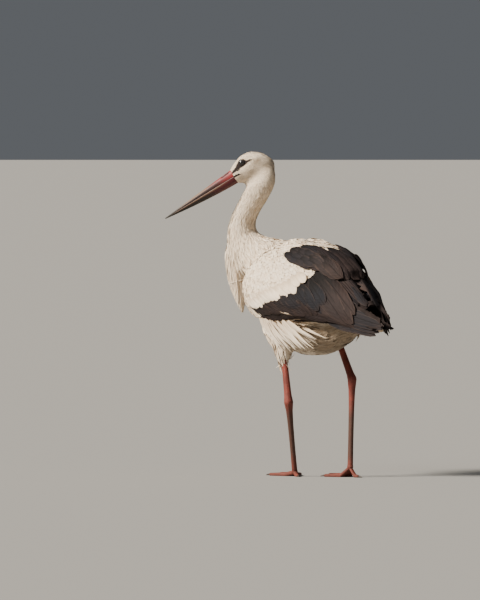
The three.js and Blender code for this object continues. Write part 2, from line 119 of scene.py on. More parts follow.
class Wire:
    """A socket of a material's nodes that takes part in sums."""

    def __init__(self, tree, socket):
        self.tree = tree
        self.socket = socket

    def node(self, kind, settings=None, output=0, **inputs):
        """A new node: its settings first, then its sockets by name, with _ for a blank, or number."""
        made = self.tree.nodes.new(kind)
        for name, value in (settings or {}).items():
            setattr(made, name, value)
        self.join(made, inputs)
        return Wire(self.tree, made.outputs[output])

    def join(self, node, inputs):
        """Sets or links a node's sockets."""
        for name, value in inputs.items():
            socket = node.inputs[int(name[1:]) if name[1:].isdigit() else name.replace("_", " ")]
            if isinstance(value, Wire):
                self.tree.links.new(value.socket, socket)
            else:
                socket.default_value = value

    def math(self, operation, *values):
        sockets = {f"i{i}": value for i, value in enumerate(values)}
        return self.node("ShaderNodeMath", {"operation": operation}, **sockets)

    def __add__(self, other):
        return self.math("ADD", self, other)

    def __sub__(self, other):
        return self.math("SUBTRACT", self, other)

    def __rsub__(self, other):
        return self.math("SUBTRACT", other, self)

    def __mul__(self, other):
        return self.math("MULTIPLY", self, other)

    __radd__ = __add__
    __rmul__ = __mul__

    def sine(self):
        return self.math("SINE", self)

    def size(self):
        return self.math("ABSOLUTE", self)

    def clamp(self):
        return self.node("ShaderNodeClamp", Value=self)

    def ramp(self, low, high):
        """0 below low, 1 above high, smooth between."""
        settings = {"interpolation_type": "SMOOTHSTEP"}
        return self.node("ShaderNodeMapRange", settings, Value=self, From_Min=low, From_Max=high)

    def mix(self, first, second):
        """The colour that goes from first to second as this value goes from 0 to 1."""
        settings = {"data_type": "RGBA"}
        return self.node("ShaderNodeMix", settings, output=2, i0=self, i6=first, i7=second)

    def attribute(self, name):
        return self.node("ShaderNodeAttribute", {"attribute_name": name}, output="Fac")

    def parts(self):
        """The x, y and z of a vector."""
        return [self.node("ShaderNodeSeparateXYZ", output=k, Vector=self) for k in range(3)]

    def uv(self, name):
        """The two coordinates of a UV map."""
        return self.node("ShaderNodeUVMap", {"uv_map": name}).parts()[:2]

    def vector(self, x, y, z):
        return self.node("ShaderNodeCombineXYZ", X=x, Y=y, Z=z)

    def place(self):
        return self.node("ShaderNodeTexCoord", output="Object")

    def noise(self, at, scale, detail):
        return self.node("ShaderNodeTexNoise", Vector=at, Scale=scale, Detail=detail)

    def cells(self, at, scale, feature="F1"):
        return self.node("ShaderNodeTexVoronoi", {"feature": feature}, Vector=at, Scale=scale)

    def bump(self, height, strength, distance):
        return self.node("ShaderNodeBump", Height=height, Strength=strength, Distance=distance)


def srgb(red, green, blue):
    """A colour in Blender's own scale of one given from 0 to 255 as on a screen."""
    def line(value):
        share = value / 255
        return share / 12.92 if share <= 0.04045 else ((share + 0.055) / 1.055) ** 2.4
    return (line(red), line(green), line(blue), 1)


def material(name, roughness, specular=0.5, **constants):
    """A new material, a wire to make its nodes with, and what gives values or wires to its shader."""
    made = bpy.data.materials.new(name)
    made.use_nodes = True
    wire = Wire(made.node_tree, None)

    def paint(**inputs):
        wire.join(made.node_tree.nodes["Principled BSDF"], inputs)

    paint(Roughness=roughness, Specular_IOR_Level=specular, **constants)
    return made, wire, paint


WARM_WHITE = srgb(246, 231, 210)
CREAM = srgb(232, 210, 180)
# painted shade on white feathers
SHADE_WHITE = srgb(178, 156, 130)
# brown for painted shade on the belly, nape and face, and for a brown patch at the temple
SHADE_BROWN = srgb(112, 90, 66)
JET = srgb(14, 11, 11)
UMBER = srgb(50, 39, 36)
FRINGE = srgb(84, 68, 60)
PALE = srgb(206, 184, 160)
# slate on black feathers stands in for a painted sheen
SLATE = srgb(25, 25, 30)
BARB_WAVES = 60  # along a feather
BARB_SLANT = 12
RELIEF = 1 * MM
HORN_RELIEF = 0.6 * MM
FINE_RELIEF = 0.4 * MM


def feather_material():
    """White or black feathers by their dark attribute, with barbs either side of a shaft. As painted shade,
    the roots of all and the sides of white ones short of the tip are darkened. Brown from an attribute paints
    shade on the white of the belly, nape and face and a brown patch at the temple, and gives fringed black
    feathers a pale edge.
    """
    made, w, paint = material("Feather", 0.8, 0.16)
    across, along = w.uv("Vane")
    tuft = w.attribute("tuft")
    dark = w.attribute("dark")
    brown_shade_and_fringe = w.attribute("brown_shade_and_fringe")
    across = (across - 0.5) * 2
    out = across.size()
    barbs = (along * BARB_WAVES + out * BARB_SLANT + tuft * 20).sine() * 0.5 + 0.5
    streak = w.noise(w.vector(across * 6, along * 3, tuft * 31), 2.0, 4.0)
    shaft = 1 - out.ramp(0.02, 0.12)
    edge = out.ramp(0.7, 1.0)
    tip = along.ramp(0.8, 1.0)
    # painted shade: each feather darkens towards its root, where those before it lie over it
    root = 1 - along.ramp(0.1, 0.7)
    body = (tuft * 0.75 + (streak - 0.5) * 0.8).clamp().mix(WARM_WHITE, CREAM)
    # painted shade on white feathers at the root and along the sides short of the tip
    body = (root * 0.55 + edge * (1 - tip) * 0.35 + streak * 0.12).clamp().mix(body, SHADE_WHITE)
    # brown painted shade on the white of the belly, nape and face, and a brown patch at the temple
    body = (brown_shade_and_fringe * (0.6 + 0.5 * streak)).clamp().mix(body, SHADE_BROWN)
    # each black feather's tone runs from brown-black to slate, a painted sheen
    ink = tuft.mix(UMBER, SLATE)
    # painted shade on black feathers: near black towards the root, and in streaks
    ink = (root * 0.85 + (1 - streak.ramp(0.3, 0.6)) * 0.45).clamp().mix(ink, JET)
    ink = ((edge * 0.35 + tip * 0.3) * streak.ramp(0.35, 0.6)).clamp().mix(ink, FRINGE)
    ink = (shaft * 0.6).mix(ink, JET)
    ink = (brown_shade_and_fringe * out.ramp(0.72, 0.86)).mix(ink, PALE)
    roughness = 0.82 - dark * 0.12 + streak * 0.1
    relief = w.bump(barbs * 0.35 + shaft * 0.9 + streak * 1.1, 0.55, RELIEF)
    paint(Base_Color=dark.mix(body, ink), Roughness=roughness, Normal=relief)
    return made


def skin_material():
    """The skin under the coat, with the coat's own markings and its brown painted shade."""
    made, w, paint = material("Skin under the feathers", 0.85, 0.2)
    place = w.place()
    mottle = w.noise(place, 60.0, 4.0)
    streak = w.noise(place, 240.0, 3.0)
    # brown painted shade on the belly, nape and face, and a brown patch at the temple, as on the coat
    brown_shade = (w.attribute("brown_shade_and_fringe") * (0.6 + 0.4 * mottle)).clamp()
    body = brown_shade.mix(mottle.mix(WARM_WHITE, CREAM), SHADE_BROWN)
    colour = w.attribute("dark").mix(body, mottle.mix(JET, UMBER))
    paint(Base_Color=colour, Normal=w.bump(streak, 0.4, RELIEF))
    return made


# ---- meshes

def linked(name, data):
    """A new object of the scene."""
    made = bpy.data.objects.new(name, data)
    bpy.context.scene.collection.objects.link(made)
    return made


def read(items, key, width, kind=float):
    """What each item of a mesh holds under a key, as a row of numbers."""
    data = np.zeros(len(items) * width, kind)
    items.foreach_get(key, data)
    return data.reshape(-1, width)


def write_values(mesh, values):
    """Named values at a mesh's points."""
    for key, data in values.items():
        layer = mesh.attributes.new(key, "FLOAT", "POINT")
        layer.data.foreach_set("value", np.asarray(data, np.float32).ravel())


def cover(mesh, made_of):
    """Smooth shading and one material."""
    mesh.polygons.foreach_set("use_smooth", np.ones(len(mesh.polygons), bool))
    mesh.materials.clear()
    mesh.materials.append(made_of)


def mesh_piece(name, points, quads, made_of, values=None, maps=None):
    """A piece of four-sided faces, with values at its points and UV maps given point by point."""
    mesh = bpy.data.meshes.new(name)
    points = np.asarray(points, np.float32)
    quads = np.asarray(quads, np.int32)
    mesh.vertices.add(len(points))
    mesh.vertices.foreach_set("co", points.ravel())
    mesh.loops.add(quads.size)
    mesh.loops.foreach_set("vertex_index", quads.ravel())
    mesh.polygons.add(len(quads))
    mesh.polygons.foreach_set("loop_start", np.arange(0, quads.size, 4, dtype=np.int32))
    cover(mesh, made_of)
    mesh.update(calc_edges=True)
    write_values(mesh, values or {})
    for key, data in (maps or {}).items():
        layer = mesh.uv_layers.new(name=key)
        layer.data.foreach_set("uv", np.asarray(data, np.float32)[quads.ravel()].ravel())
    piece = linked(name, mesh)
    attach(piece, "root")
    return piece


def grid_quads(rows, columns, closed=False, turned=False):
    """The faces of a grid of points, row after row. turned puts their other side out."""
    across = columns if closed else columns - 1
    r, c = np.meshgrid(np.arange(rows - 1), np.arange(across), indexing="ij")
    a = r * columns + c
    b = r * columns + (c + 1) % columns
    return np.stack([a, b, b + columns, a + columns], -1).reshape(-1, 4)[:, ::-1 if turned else 1]


def grid_map(rows, columns):
    """Across and along for each point of a grid, from 0 to 1."""
    return np.stack(np.meshgrid(np.linspace(0, 1, columns), np.linspace(0, 1, rows)), -1).reshape(-1, 2)


WELD = 0.02 * MM


def joined_copy(name, nodes, balls=()):
    """One mesh object made of merged copies of CAD nodes, with balls that fill their joints."""
    merged = bmesh.new()
    for node in nodes:
        merged.from_mesh(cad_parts[node].data)
    for centre, radius in balls:
        ball = bmesh.ops.create_icosphere(merged, subdivisions=3, radius=radius * MM)
        bmesh.ops.translate(merged, verts=ball["verts"], vec=Vector(bird(centre)))
    bmesh.ops.remove_doubles(merged, verts=merged.verts, dist=WELD)
    mesh = bpy.data.meshes.new(name)
    merged.to_mesh(mesh)
    merged.free()
    return linked(name, mesh)


def bake_modifiers(piece):
    """Replaces the mesh with what its modifiers make of it."""
    graph = bpy.context.evaluated_depsgraph_get()
    made = bpy.data.meshes.new_from_object(piece.evaluated_get(graph))
    piece.modifiers.clear()
    piece.data = made


def remeshed(piece, voxel, smoothing):
    """The piece as one closed surface of small even faces."""
    remesh = piece.modifiers.new("One skin", "REMESH")
    remesh.mode = "VOXEL"
    remesh.voxel_size = voxel
    smooth = piece.modifiers.new("Smooth", "SMOOTH")
    smooth.factor = 0.5
    smooth.iterations = smoothing
    bake_modifiers(piece)
    keep_largest(piece)
    return piece


def keep_largest(piece):
    """Drops the inner walls that a remesh leaves, so that only the outside is kept."""
    shape = bmesh.new()
    shape.from_mesh(piece.data)
    seen = set()
    groups = []
    for start in shape.verts:
        if start in seen:
            continue
        group = [start]
        seen.add(start)
        for vertex in group:
            for edge in vertex.link_edges:
                other = edge.other_vert(vertex)
                if other not in seen:
                    seen.add(other)
                    group.append(other)
        groups.append(group)
    groups.sort(key=len)
    for group in groups[:-1]:
        bmesh.ops.delete(shape, geom=group, context="VERTS")
    shape.to_mesh(piece.data)
    shape.free()


def move(mesh, points):
    mesh.vertices.foreach_set("co", points.astype(np.float32).ravel())
    mesh.update()


def swell(mesh, amount):
    """Moves each point of a closed surface along its normal."""
    move(mesh, read(mesh.vertices, "co", 3) + read(mesh.vertices, "normal", 3) * amount)


class Ground:
    """A closed surface that feathers are laid on."""

    def __init__(self, mesh):
        mesh.calc_loop_triangles()
        self.points = read(mesh.vertices, "co", 3)
        self.normals = read(mesh.vertices, "normal", 3)
        self.corners = read(mesh.loop_triangles, "vertices", 3, np.int32)
        self.loops = read(mesh.loop_triangles, "loops", 3, np.int32)
        self.tree = BVHTree.FromPolygons(self.points.tolist(), self.corners.tolist())
        self.uv = read(mesh.uv_layers[0].data, "uv", 2) if mesh.uv_layers else None

    def corner_points(self, faces):
        return (self.points[self.corners[faces, k]] for k in range(3))

    def weights(self, places, faces):
        """How much of each corner a place on a triangle has."""
        a, b, c = self.corner_points(faces)
        whole = np.cross(b - a, c - a)
        area = np.maximum((whole ** 2).sum(1), 1e-18)
        second = (np.cross(places - a, c - a) * whole).sum(1) / area
        third = (np.cross(b - a, places - a) * whole).sum(1) / area
        return np.clip(np.stack([1 - second - third, second, third], 1), 0, 1)[..., None]

    def normal_at(self, places, faces):
        return unit((self.normals[self.corners[faces]] * self.weights(places, faces)).sum(1))

    def uv_at(self, places, faces):
        return (self.uv[self.loops[faces]] * self.weights(places, faces)).sum(1)

    def nearest(self, points):
        """The closest place on the surface, its normal and its triangle, for each point."""
        found = [self.tree.find_nearest(point) for point in points.tolist()]
        places = np.array([tuple(hit[0]) for hit in found])
        faces = np.array([hit[2] for hit in found])
        return places, self.normal_at(places, faces), faces

    def uv_near(self, points):
        places, _, faces = self.nearest(points)
        return self.uv_at(places, faces)


# ---- how the coat lies

# Each guide: place, heading, and the feather's length and width there in millimetres.
# Those of the head, body and wings that are off the middle count for both sides.
HEAD_GUIDES = [
    ((52, 0, 22), (-1, 0, 0.15), 4.5, 1.5),
    ((50, 0, -8), (-1, 0, -0.1), 4.5, 1.5),
    ((20, 0, 38), (-1, 0, 0), 7, 2.0),
    ((-15, 0, 30), (-1, 0, -0.6), 9, 2.5),
    ((-34, 0, 0), (-0.4, 0, -1), 11, 3.0),
    ((22, -24, 0), (-1, 0, -0.25), 6, 1.8),
    ((-8, -26, 0), (-0.8, 0, -0.8), 9, 2.4),
    ((0, 0, -34), (-0.7, 0, -0.9), 9, 2.4),
]
NECK_GUIDES = [
    ((126, -46, 658), (0.15, -0.1, -1), 12, 2.8),
    ((134, -54, 631), (0.5, -0.2, -1), 13, 3.0),
    ((147, -59, 612), (0.6, -0.25, -1), 14, 3.2),
    ((162, -65, 590), (0.5, -0.2, -1), 15, 3.4),
    ((177, -71, 561), (0.1, 0, -1), 17, 3.8),
    ((186, -74, 530), (0, 0, -1), 22, 4.4),
    ((150, -55, 530), (-0.5, 0.2, -1), 18, 4.8),
    ((112, -32, 515), (-1, 0.3, -0.2), 22, 6.5),
]
PLUME_GUIDES = [
    ((190, -82, 492), (0, 0, -1), 34, 5.0),
    ((186, -81, 448), (-0.05, 0, -1), 42, 5.0),
    ((176, -80, 404), (-0.15, 0, -1), 46, 4.6),
    ((166, -78, 362), (-0.15, 0, -1), 40, 4.0),
]
BODY_GUIDES = [
    ((157, 0, 430), (-0.2, 0, -1), 26, 7),
    ((130, -60, 450), (-0.6, 0, -0.8), 22, 7),
    ((120, 0, 350), (-0.7, 0, -0.7), 28, 8),
    ((50, 0, 283), (-1, 0, 0), 30, 8),
    ((-40, 0, 270), (-1, 0, 0.05), 32, 8),
    ((-120, 0, 290), (-1, 0, 0.25), 36, 8),
    ((-190, 0, 325), (-1, 0, 0.3), 40, 8),
    ((100, -50, 505), (-1, -0.3, -0.2), 34, 6),
    ((60, -60, 508), (-1, -0.15, -0.2), 36, 7),
    ((60, 0, 516), (-1, 0, 0), 34, 7),
    ((-20, 0, 510), (-1, 0, -0.15), 28, 9),
    ((-110, 0, 465), (-1, 0, -0.6), 30, 9),
    ((-190, 0, 395), (-1, 0, -0.4), 34, 9),
    ((50, -95, 345), (-0.9, 0, -0.5), 28, 8),
    ((-40, -80, 325), (-1, 0, -0.25), 30, 8),
]
THIGH_GUIDES = [
    ((30, -62, 350), (-0.25, 0, -1), 30, 6.5),
    ((14, -71, 300), (-0.15, 0, -1), 22, 5),
    ((3, -69, 262), (-0.1, 0, -1), 32, 4),
    ((10, 60, 345), (-0.3, 0, -1), 30, 6.5),
    ((-8, 61, 312), (-0.45, 0, -1), 22, 5),
    ((-18, 61, 296), (-0.45, 0, -1), 28, 4),
]
WING_GUIDES = [
    ((125, -86, 430), (-0.55, 0, -0.9), 14, 7),
    ((90, -105, 440), (-0.8, 0, -0.55), 16, 9),
    ((60, -70, 500), (-1, 0, -0.3), 18, 9),
    ((40, -108, 430), (-0.9, 0, -0.45), 18, 10),
    ((-10, -106, 430), (-0.95, 0, -0.35), 20, 11),
    ((-100, -92, 410), (-0.95, 0, -0.35), 24, 11),
    ((90, -100, 375), (-0.9, 0, -0.45), 16, 9),
]
GUIDE_REACH = 12 * MM


def mirrored(guide):
    (ahead, right, up), (x, y, z), length, width = guide
    return (ahead, -right, up), (x, -y, z), length, width


def both_sides(guides):
    """The guides, each off the middle followed by its mirror image."""
    for guide in guides:
        yield guide
        if guide[0][1]:
            yield mirrored(guide)


def all_guides():
    """Places, headings and sizes of every guide, in the row frame and metres."""
    guides = [(head(place), head_way(way), *size) for place, way, *size in both_sides(HEAD_GUIDES)]
    guides += [*NECK_GUIDES, *PLUME_GUIDES, *both_sides(BODY_GUIDES), *THIGH_GUIDES, *WING_GUIDES]
    guides += [mirrored(guide) for guide in WING_GUIDES]
    places = bird([guide[0] for guide in guides])
    ways = unit(bird_way([guide[1] for guide in guides]))
    sizes = np.array([guide[2:] for guide in guides], float) * MM
    return places, ways, sizes


GUIDE_PLACES, GUIDE_WAYS, GUIDE_SIZES = all_guides()


def lie_at(points, normals):
    """The heading of the coat along the skin, and its feathers' length and width, at each point."""
    apart = ((points[:, None, :] - GUIDE_PLACES[None]) ** 2).sum(-1)
    pull = 1 / (apart + GUIDE_REACH ** 2) ** 2
    pull /= pull.sum(1, keepdims=True)
    return flattened(pull @ GUIDE_WAYS, normals), pull @ GUIDE_SIZES


# ---- markings

# The lower border of the white coverts on a wing, as (ahead, up).
WING_BORDER = [
    (-117, 437), (-112, 418), (-108, 411), (-90, 408), (-57, 393), (-29, 388), (6, 375), (41, 363), (70, 338),
]
# Where the black scapulars come out from under the white mantle, as (out from the middle, ahead).
SCAPULAR_BORDER = [(0, -80), (18, -76), (38, -68), (53, -32), (62, -10), (78, -7), (90, -30)]
BORDER_BLUR = 2
# Above this line the tertials of both wings close over the rump, as (ahead, up).
RUMP_LINE = [(-316, 322), (-250, 329), (-222, 340), (-195, 365), (-150, 405), (-100, 440), (-76, 465)]
RUMP_BLUR = 3
RUMP_START = 6  # the length over which its black begins
# The bare black skin from the bill to the eye, in the head's frame: (forward, low, high).
LORES = [
    (2, 18, 21), (12, 18.5, 24), (17, 17, 31), (24, 16, 32), (31, 16, 31), (40, 14.8, 24), (54, 13.6, 18.4),
]
# The dark crease that carries the gape back into the feathers, in the same frame.
GAPE_CREASE = [(38, 4.6, 5.6), (45, 4.6, 7.4), (60, 6.0, 10.6)]
BAND_EDGE = (-1.2, 0.6)
BAND_END = 4
BAND_OUT = 8  # how far out from the middle of the head both begin
# Painted shade in brown on the belly: where it begins and is full, by height, from the front and from the
# back.
BELLY_TOP = (350, 328)
BELLY_FRONT = (-20, -70)
BELLY_BACK = (-225, -180)
BELLY_SHADE = 0.9
# Brown on the sides of the head: forward, up, reach along, reach up and strength of each patch. There is a
# brown patch at the temple, and painted shade at the ear, on the face and on the lobe by the gape.
HEAD_BROWNS_AND_SHADE = [(-5, 12, 13, 6, 0.85), (-16, -6, 10, 10, 0.7), (18, -4, 20, 11, 0.7), (46, -2, 9, 7, 0.8)]
# how far out from the middle of the head that brown begins and is full
HEAD_BROWN_OUT = (8, 18)
# Painted shade in brown on the nape: where it begins and is full, back along the head and up it, and how
# strong.
NAPE_BACK = (-14, -34)
NAPE_UP = (-60, -30)
NAPE_SHADE = 0.5


def line_at(line, at, column=1):
    """The value of a line of points at each place along it."""
    line = np.array(line, float)
    return np.interp(at, line[:, 0], line[:, column])


def in_band(places, band):
    """1 inside a band of (forward, low, high) on either side of the head."""
    forward, across, up = in_head(places).T
    depth = np.minimum(up - line_at(band, forward), line_at(band, forward, 2) - up)
    start = smooth_step(band[0][0] - BAND_END, band[0][0], forward)
    end = smooth_step(band[-1][0] + BAND_END, band[-1][0], forward)
    return smooth_step(*BAND_EDGE, depth) * (start * end) * (np.abs(across) > BAND_OUT)


def dark_share(owner, places):
    """1 where the plumage is black and 0 where it is white."""
    ahead, right, up = places.T
    on_wing = smooth_step(BORDER_BLUR, -BORDER_BLUR, up - line_at(WING_BORDER, ahead))
    on_wing = np.where(ahead < WING_BORDER[0][0], 1.0, on_wing)
    shoulder = line_at(SCAPULAR_BORDER, np.abs(right))
    on_scapulars = smooth_step(BORDER_BLUR, -BORDER_BLUR, ahead - shoulder)
    on_rump = smooth_step(-RUMP_BLUR, RUMP_BLUR, up - line_at(RUMP_LINE, ahead))
    on_rump *= smooth_step(RUMP_LINE[-1][0], RUMP_LINE[-1][0] - RUMP_START, ahead)
    owner = np.asarray(owner)
    wing = np.char.startswith(owner, "wing")
    scapulars = np.char.startswith(owner, "scapulars")
    trunk = np.isin(owner, ["trunk", "tail"])
    dark = np.select([wing, scapulars, trunk], [on_wing, on_scapulars, on_rump], 0.0)
    return np.maximum.reduce([dark, in_band(places, LORES), in_band(places, GAPE_CREASE)])


def brown_shade_share(places):
    """How far the white is painted brown: painted shade on the belly, the nape, and the ear, face and lobe
    by the gape, and a brown patch at the temple.
    """
    ahead, _, up = places.T
    belly = smooth_step(*BELLY_TOP, up) * smooth_step(*BELLY_FRONT, ahead)
    belly = belly * smooth_step(*BELLY_BACK, ahead) * BELLY_SHADE
    forward, across, height = in_head(places).T
    head_brown_and_shade = 0
    for x, z, along, tall, strength in HEAD_BROWNS_AND_SHADE:
        head_brown_and_shade = head_brown_and_shade + np.exp(-(((forward - x) / along) ** 2 + ((height - z) / tall) ** 2)) * strength
    nape = smooth_step(*NAPE_BACK, forward) * smooth_step(*NAPE_UP, height) * NAPE_SHADE
    return np.clip(belly + (head_brown_and_shade * smooth_step(*HEAD_BROWN_OUT, np.abs(across)) + nape), 0, 1)


# ---- the skin

FEATHERED = [
    "head", "neck_upper", "neck_lower", "breast_plumes", "trunk", "tail",
    "wing_left", "wing_right", "scapulars_left", "scapulars_right", "thigh_left", "thigh_right",
]
SKIN_VOXEL = 2.7 * MM
CREASE = 5 * MM  # gaps between solids up to twice this wide are bridged
SHRINK = 1.3 * MM  # what the smoothing takes off, given back
EASING = 8
COAT_DEPTH = 2.4
FACE_SHALLOWER = 1.6
FACE_FORWARD = (-40, 50)
FACE_UP = (-60, -30)


def owners(points):
    """The feathered CAD node that each point is nearest to."""
    corners = []
    faces = []
    names = []
    for node in FEATHERED:
        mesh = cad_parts[node].data
        start = len(corners)
        corners += [vertex.co[:] for vertex in mesh.vertices]
        faces += [[start + v for v in polygon.vertices] for polygon in mesh.polygons]
        names += [node] * len(mesh.polygons)
    tree = BVHTree.FromPolygons(corners, faces)
    return [names[tree.find_nearest(point)[2]] for point in points.tolist()]


def coat_depth(points):
    """How far the skin lies inside the solids: little on the face, more on the body."""
    forward, _, up = in_head(from_bird(points)).T
    face = smooth_step(*FACE_FORWARD, forward) * smooth_step(*FACE_UP, up)
    return (COAT_DEPTH - FACE_SHALLOWER * face)[:, None] * MM


def unwrap(piece):
    """The map of the skin's own shape, in islands by the way that its faces look."""
    bpy.context.view_layer.objects.active = piece
    piece.select_set(True)
    while piece.data.uv_layers:
        piece.data.uv_layers.remove(piece.data.uv_layers[0])
    piece.data.uv_layers.new(name="OFBake")
    bpy.ops.object.mode_set(mode="EDIT")
    bpy.ops.mesh.select_all(action="SELECT")
    bpy.ops.uv.smart_project(angle_limit=math.radians(66), island_margin=0.002)
    bpy.ops.object.mode_set(mode="OBJECT")
    piece.select_set(False)


def make_skin():
    """The ground under the small feathers, the one that large feathers lie on, and the CAD node that
    each point of the skin is nearest to."""
    skin = remeshed(joined_copy("skin", FEATHERED), SKIN_VOXEL, 2)
    swell(skin.data, CREASE)
    skin = remeshed(skin, SKIN_VOXEL, 3)
    swell(skin.data, SHRINK - CREASE)
    easing = skin.modifiers.new("Easing", "SMOOTH")
    easing.iterations = EASING
    bake_modifiers(skin)
    mesh = skin.data
    outside = Ground(mesh)
    owner = owners(outside.points)
    points = outside.points - outside.normals * coat_depth(outside.points)
    move(mesh, points)
    places = from_bird(points)
    write_values(mesh, {"dark": dark_share(owner, places), "brown_shade_and_fringe": brown_shade_share(places)})
    unwrap(skin)
    cover(mesh, skin_material())
    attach(skin, "root")
    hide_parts(*FEATHERED)
    return Ground(mesh), outside, np.array(owner)


# ---- feathers

BAKE_PATCH = 0.003
LEAVE = 5 * MM  # a feather that is this far off the surface has left it, and runs on straight
ROUND_PEAK = 0.55  # where along its length a round feather is widest, and a long pointed one
LANCE_PEAK = 0.35


def blade_shape(along, pointed):
    """The half width along a feather, as a share: pointed 0 is a round tip, 1 a long point."""
    round_rise = 1 - np.clip(1 - along / ROUND_PEAK, 0, 1) ** 2
    round_fall = (np.clip(along - ROUND_PEAK, 0, 1) / (1 - ROUND_PEAK)) ** 2.2
    long_rise = 1 - np.clip(1 - along / LANCE_PEAK, 0, 1) ** 2
    long_fall = np.clip(along - LANCE_PEAK, 0, 1) / (1 - LANCE_PEAK)
    rounded = (0.25 + 0.75 * round_rise) * np.sqrt(np.clip(1 - round_fall, 0.006, 1))
    lance = (0.3 + 0.7 * long_rise) * np.clip(1 - long_fall, 0.04, 1) ** 0.8
    return rounded * (1 - pointed) + lance * pointed


def feather_piece(name, run, widths, root_uv, dark, brown_shade_and_fringe, tuft, made_of, pointed, camber, columns,
                  over=None, heights=None):
    """Feathers along a run, which is the place, the way across and the way up at each step of each one,
    and their half widths. Those with a ground to lie over bend across it too, at the height above it of
    each step."""
    paths, sides, normals = run
    count, rows = paths.shape[:2]
    along = np.linspace(0, 1, rows)[None, :, None]
    across = np.linspace(-1, 1, columns)[None, None, :]
    half = widths[:, None, None] * blade_shape(along, pointed)
    arch = camber * half * (1 - across ** 2)
    points = paths[:, :, None, :] + sides[:, :, None, :] * (half * across)[..., None]
    points = points + normals[:, :, None, :] * arch[..., None]
    if over is not None:
        places, upward, _ = over.nearest(points.reshape(-1, 3))
        points = places + upward * (heights[:, :, None] + arch).reshape(-1, 1)
    size = rows * columns
    quads = grid_quads(rows, columns)[None] + (np.arange(count) * size)[:, None, None]
    vane = np.tile(grid_map(rows, columns), (count, 1))
    bake = np.repeat(root_uv, size, 0) + (vane - 0.5) * BAKE_PATCH
    values = {"dark": dark, "brown_shade_and_fringe": brown_shade_and_fringe, "tuft": tuft}
    values = {key: np.repeat(np.broadcast_to(value, count), size) for key, value in values.items()}
    mesh_piece(name, points.reshape(-1, 3), quads.reshape(-1, 4), made_of, values,
               {"OFBake": bake, "Vane": vane})


def lay_paths(ground, roots, ways, lengths, steps, low, high, free_ends):
    """Walks each feather's shaft over the surface from its root, rising from low to high above it.
    Where the surface turns away, a feather with free ends runs on straight."""
    paths = []
    sides = []
    ups = []
    here = roots
    way = ways
    last = None
    for step in range(steps):
        place, normal, _ = ground.nearest(here)
        if last is not None and free_ends:
            off = np.linalg.norm(here - place, axis=1, keepdims=True)
            free = smooth_step(LEAVE * 0.4, LEAVE, off)
            place = place + (here - place) * free
            normal = unit(normal + (last - normal) * free)
        last = normal
        way = flattened(way, normal)
        share = step / (steps - 1)
        paths.append(place + normal * (low + (high - low) * share)[:, None])
        sides.append(np.cross(normal, way))
        ups.append(normal)
        here = place + way * (lengths / (steps - 1))[:, None]
    return np.stack(paths, 1), np.stack(sides, 1), np.stack(ups, 1)


def hang_paths(roots, ways, lengths, steps, lift, side, lean):
    """Feathers that hang clear of the body from their roots, leaning in by a share of their length."""
    outward = np.array([0.0, side, 0.0])
    share = np.linspace(0, 1, steps)[None, :, None]
    lengths = lengths[:, None, None]
    out = lift[:, None, None] - lean * lengths * share ** 2
    paths = roots[:, None] + ways[:, None] * lengths * share + outward * out
    tangent = unit(np.gradient(paths, axis=1))
    sides = unit(np.cross(np.broadcast_to(outward, tangent.shape), tangent))
    return paths, sides, np.cross(tangent, sides)


def rolled(run, spread, random):
    """A run of feathers, each tipped to a side about its shaft."""
    paths, sides, ups = run
    tip = random.normal(0, spread, len(sides))[:, None, None]
    return paths, sides * np.cos(tip) + ups * np.sin(tip), ups * np.cos(tip) - sides * np.sin(tip)


# ---- the small feathers of the coat

COAT_COLUMNS = 3
COAT_STEPS = 5
# How each feather of the coat strays from the rule: its turn, its length, width and rise as shares, and
# where along the blur of a border it goes from white to black.
COAT_TURN = 0.12
COAT_LENGTHS = (0.8, 1.2)
COAT_WIDTHS = (0.8, 1.15)
COAT_RISES = (0.5, 1.5)
BORDER_MIX = (0.3, 0.7)
COAT_CAMBER = 0.25
COAT_LOW = 0.1 * MM
ROOT_BACK = 0.3  # the share of a feather's length that lies behind its place
BARE_FROM = 0.4
# Where parts of the coat begin and end, in millimetres ahead and up.
FACE_END = 55  # forward of the head's centre
BIB_FRONT = 158
BIB_HEIGHTS = (405, 545)
TAIL_START = -235
VENT_BACK = -205
VENT_FRONT = -100
VENT_TOP = 345


def scatter(ground, faces, spacing, random):
    """Even random places on some faces, with about spacing**2 for each."""
    a, b, c = ground.corner_points(faces)
    area = np.linalg.norm(np.cross(b - a, c - a), axis=1) / 2
    picks = np.floor(area / spacing ** 2 + random.random(len(faces))).astype(int)
    chosen = np.repeat(np.arange(len(faces)), picks)
    first = random.random(len(chosen))
    second = random.random(len(chosen))
    over = first + second > 1
    first = np.where(over, 1 - first, first)[:, None]
    second = np.where(over, 1 - second, second)[:, None]
    return a[chosen] + (b - a)[chosen] * first + (c - a)[chosen] * second, faces[chosen]


